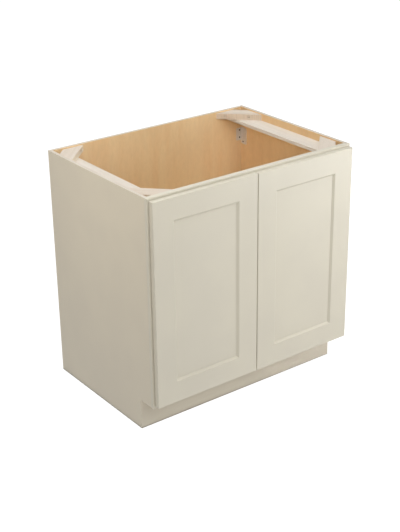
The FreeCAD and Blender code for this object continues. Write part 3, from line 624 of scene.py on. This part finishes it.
def axle(start, end, radius):
    """A pin from start to end along X that ends in a rivet's shallow dome."""
    long = abs(end[0] - start[0])
    share = np.sin(np.linspace(0, np.pi / 2, 8))[::-1, None]
    dome = np.concatenate([RIVET_R * share, long - RIVET_T * share ** 2], 1)
    profile = np.concatenate([[[0, 0], [radius, 0], [radius, long - RIVET_T]], dome])
    return skin(stood(turned(profile, 32), start, np.array([np.sign(end[0] - start[0]), 0.0, 0.0])))


def rolled(stations):
    """Rolled sheet: outlines of x and z pairs at stations along Y, joined, and closed at both ends."""
    grid = np.stack([np.insert(outline, 1, y, axis=1) for y, outline in stations])
    return skin(grid, capped=True)


def fixed_slide(tray):
    """The left fixed channel, open above its wheel, with the wheel's axle."""
    low, high = (f(solids_of(f"{tray}_cabinet_slides")[0], 0) for f in (np.min, np.max))
    turning = solids_of(f"{tray}_front_rollers")[0]
    hub, wheel_high = (turning.min(0) + turning.max(0)) / 2, turning.max(0)
    bore = np.linalg.norm((turning - hub)[:, 1:], axis=1).min()
    (x0, y0, z0), (x1, y1, z1) = low, high
    x_in, z_in, z_up = x0 + SHEET_T, z0 + SHEET_T, z1 - SHEET_T
    stub = x_in + WINDOW_LIP
    bends = np.array([BEND_OUT, FREE_EDGE, FREE_EDGE, BEND_IN, BEND_IN, FREE_EDGE, FREE_EDGE, BEND_OUT])
    lower = [(x0, z0), (x1, z0), (x1, z_in), (x_in, z_in), (x_in, z_up)]
    full = rounded(lower + [(x1, z_up), (x1, z1), (x0, z1)], bends)
    cut = rounded(lower + [(stub, z_up), (stub, z1), (x0, z1)], bends * (1, 1, 1, 1, 0, 0, 0, 0))
    window = wheel_high[1] + WINDOW_PAST_WHEEL
    channel = rolled([(y0, cut), (window, cut), (window, full), (y1, full)])
    end = (wheel_high[0] + RIVET_GAP + RIVET_T, hub[1], hub[2])
    return [channel, axle((x0 + SHEET_T / 2, hub[1], hub[2]), end, bore - AXLE_PLAY)]


def moving_slide(tray):
    """The left moving member: web, runner over the fixed wheel, shelf under the tray, and its own axle."""
    low, high = (f(solids_of(f"{tray}_tray_slides")[0], 0) for f in (np.min, np.max))
    fixed, own = (solids_of(f"{tray}_{end}_rollers")[0] for end in ("front", "rear"))
    hub = (own.min(0) + own.max(0)) / 2
    bore = np.linalg.norm((own - hub)[:, 1:], axis=1).min()
    tray_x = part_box(f"{tray}_tray_left_side")[0].x
    run_x, shelf_x, web_x = fixed.min(0)[0], high[0], tray_x - SHEET_T
    z0, z1 = low[2], high[2]
    corners = [(shelf_x, z0), (shelf_x, z0 + SHEET_T), (tray_x, z0 + SHEET_T), (tray_x, z1), (run_x, z1),
               (run_x, z1 - SHEET_T), (web_x, z1 - SHEET_T), (web_x, z0)]
    bends = [FREE_EDGE, FREE_EDGE, BEND_IN, BEND_OUT, FREE_EDGE, FREE_EDGE, BEND_IN, BEND_OUT]
    outline = rounded(corners, bends)
    end = (own.min(0)[0] - RIVET_GAP - RIVET_T, hub[1], hub[2])
    return [rolled([(low[1], outline), (high[1], outline)]),
            axle((web_x + SHEET_T / 2, hub[1], hub[2]), end, bore - AXLE_PLAY)]


def hardware():
    """Screws, bumpers, wheels and slides with the forms that turning, moulding and rolling give them."""
    dark, soft = phosphated_steel(), clear_polyurethane()
    coated, nylon = powder_coated_steel(), moulded_nylon()
    for node in ("pan_head_screws", "corner_block_screws"):
        formed(node + "_threaded", [screw(s) for s in solids_of(node)], dark, node)
    for node in hands("{}_door_bumpers"):
        formed(node + "_domed", [bumper(s) for s in solids_of(node)], soft, node)
    for tray in ("lower", "upper"):
        for node in (f"{tray}_front_rollers", f"{tray}_rear_rollers"):
            formed(node + "_moulded", [wheel(s) for s in solids_of(node)], nylon, node)
        for node, shapes in ((f"{tray}_cabinet_slides", fixed_slide(tray)),
                             (f"{tray}_tray_slides", moving_slide(tray))):
            formed(node + "_rolled", mirrored(shapes), coated, node)


def dress(material, *nodes):
    """Give CAD nodes a finish."""
    for name in nodes:
        frame["nodes"][name].material_slots[0].material = material


def hands(pattern):
    """A pair of node names, left and right."""
    return [pattern.format(hand) for hand in ("left", "right")]


def dress_all():
    """Every node's finish."""
    lacquer = sprayed_lacquer("satin_lacquer_on_maple", *DOOR_FILM)
    dress(lacquer, "face_frame_top_rail", "face_frame_bottom_rail", *hands("face_frame_{}_stile"))
    for member in ("hinge_stile", "lock_stile", "top_rail", "bottom_rail", "panel"):
        dress(lacquer, *hands("{}_door_" + member))
    # The toe kick's lacquer is a darker copy of the doors', painted shade for its recess under the doors
    toe = sprayed_lacquer("satin_lacquer_on_ply_painted_shade", *TOE_FILM_SHADED)
    eased(toe, BOARD_ARRIS, "cream_paint", "toe_kick_board")
    eased(lacquered_ply_side(), BOARD_ARRIS, "cream_paint", *hands("{}_side_panel"))
    back = maple_ply("maple_veneer_ply_back", 2, 1, BACK_LOW.y, BACK_HIGH.y)
    eased(back, BOARD_ARRIS, "maple_ply", "back_panel")
    dress(maple_ply("maple_veneer_ply_floor", 0, 2, FLOOR_LOW.z, FLOOR_HIGH.z), "floor_panel")
    board, post = planed_birch("planed_birch_board", 1), planed_birch("planed_birch_post", 2)
    eased(board, SAWN_ARRIS, "pale_timber", *hands("{}_top_board"), joined=False)
    eased(post, SAWN_ARRIS, "pale_timber", *hands("{}_slide_posts"), joined=False)
    # The same sawn birch in two tones: the rising copy is lighter, painted light for the back-left block's
    # lit edge, and the falling copy darker, painted shade for the back-right block's shaded edge
    slant = math.radians(45)
    rising = sawn_birch("sawn_birch_rising_painted_light", slant, ("#dacfc2", "#d3c7b8"), ("#e8dcc8", "#e0d2bc"))
    falling = sawn_birch("sawn_birch_falling_painted_shade", -slant, ("#d7cbbc", "#cfc1b0"), ("#d1bfaa", "#c2b09b"))
    eased(rising, SAWN_ARRIS, "pale_timber",
          "back_left_corner_block", "front_right_corner_block", joined=False)
    eased(falling, SAWN_ARRIS, "pale_timber",
          "front_left_corner_block", "back_right_corner_block", joined=False)
    across, deep = lacquered_maple("lacquered_maple_across", 0), lacquered_maple("lacquered_maple_deep", 1)
    for tray in ("lower", "upper"):
        dress(across, f"{tray}_tray_front", f"{tray}_tray_back", f"{tray}_tray_bottom")
        dress(deep, f"{tray}_tray_left_side", f"{tray}_tray_right_side")
    dress(zinc_plated_steel(), *hands("{}_corner_bracket"))
    nickel = nickel_plated_steel()
    for piece in ("hinge_cups", "hinge_arms", "inner_links", "outer_links"):
        dress(nickel, *hands("{}_" + piece))


def place_camera():
    """The camera: back points from the cabinet to the lens, and the roll turns right and up about it."""
    azimuth, elevation, roll = (math.radians(a) for a in (VIEW_AZIMUTH, VIEW_ELEVATION, VIEW_ROLL))
    back = Vector((math.sin(azimuth) * math.cos(elevation),
                   -math.cos(azimuth) * math.cos(elevation), math.sin(elevation)))
    level = Vector((0, 0, 1)).cross(back).normalized()
    steep = back.cross(level)
    right = math.cos(roll) * level + math.sin(roll) * steep
    up = math.cos(roll) * steep - math.sin(roll) * level
    camera = bpy.data.cameras.new("camera")
    camera.lens = LENS_MM
    camera.shift_x, camera.shift_y = LENS_SHIFT
    camera.sensor_width = SENSOR_MM
    holder = bpy.data.objects.new("camera", camera)
    bpy.context.scene.collection.objects.link(holder)
    way = Matrix((right, up, back)).transposed()
    holder.matrix_world = Matrix.Translation(CAMERA_PLACE) @ way.to_4x4()
    bpy.context.scene.camera = holder


def soft_light(name, place, aim, size, watts, spread_angle, tint):
    """A softbox that faces a point, unseen by the lens. Its size is one width, or a width and a height."""
    light = bpy.data.lights.new(name, "AREA")
    light.shape = "RECTANGLE"
    light.size, light.size_y = np.broadcast_to(size, 2)
    light.energy = watts
    light.spread = math.radians(spread_angle)
    light.color = linear(tint)[:3]
    holder = bpy.data.objects.new(name, light)
    bpy.context.scene.collection.objects.link(holder)
    holder.visible_camera = False
    holder.visible_diffuse = name not in REFLECTED_ONLY
    way = (Vector(aim) - Vector(place)).to_track_quat("-Z", "Y")
    holder.matrix_world = Matrix.Translation(place) @ way.to_matrix().to_4x4()
    return holder


def paper_light():
    """Light from the paper round the cabinet's foot, in four strips that no mirror sees."""
    x0, x1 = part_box("left_side_panel")[0].x - PAPER_FREE, SIDE_OUTER_X + PAPER_FREE
    y0, y1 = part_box("toe_kick_board")[0].y - PAPER_FREE, BACK_HIGH.y + PAPER_FREE
    strips = {
        "left": (-PAPER_HALF, -PAPER_HALF, x0, PAPER_HALF),
        "right": (x1, -PAPER_HALF, PAPER_HALF, PAPER_HALF),
        "front": (x0, -PAPER_HALF, x1, y0),
        "back": (x0, y1, x1, PAPER_HALF),
    }
    for name, (left, near, right, far) in strips.items():
        wide, deep = right - left, far - near
        x, y = (left + right) / 2, (near + far) / 2
        watts = PAPER_WATTS[name] * wide * deep
        strip = soft_light("paper_" + name, (x, y, PAPER_LIFT), (x, y, 1.0), (wide, deep), watts,
                           WIDE, PAPER_TINT)
        strip.visible_glossy = False


def white_floor():
    """A sheet that melts into the white surround and, like it, shows and reflects but doesn't light."""
    made, tree = blank("white_paper_sweep")
    fibre = stretched(tree, (0.02, 0.02, 0.02), 2.0)
    colour = mixed(tree, fibre, linear("#6e6e6e"), linear("#6b6b6b"))
    surfaced(made, {"Base Color": colour, "Roughness": 0.9, "Emission Color": WHITE,
                    "Emission Strength": FLOOR_GLOW})
    corners = [(-FLOOR_HALF, -FLOOR_HALF, 0), (FLOOR_HALF, -FLOOR_HALF, 0),
               (FLOOR_HALF, FLOOR_HALF, 0), (-FLOOR_HALF, FLOOR_HALF, 0)]
    mesh = bpy.data.meshes.new("floor")
    mesh.from_pydata(corners, [], [(0, 1, 2, 3)])
    mesh.materials.append(made)
    floor = bpy.data.objects.new("floor", mesh)
    bpy.context.scene.collection.objects.link(floor)
    floor.visible_diffuse = False


def light_studio():
    """A white surround that shows and reflects but doesn't light, the softboxes and the paper's glow."""
    world = bpy.data.worlds.new("white_surround")
    world.use_nodes = True
    background = world.node_tree.nodes["Background"]
    background.inputs["Color"].default_value = WHITE
    background.inputs["Strength"].default_value = 1.0
    bpy.context.scene.world = world
    world.cycles_visibility.diffuse = False
    for name, box in SOFTBOXES.items():
        soft_light(name, *box)
    paper_light()
    bpy.context.scene.view_settings.view_transform = "Standard"


dress_all()
hardware()
place_camera()
white_floor()
light_studio()
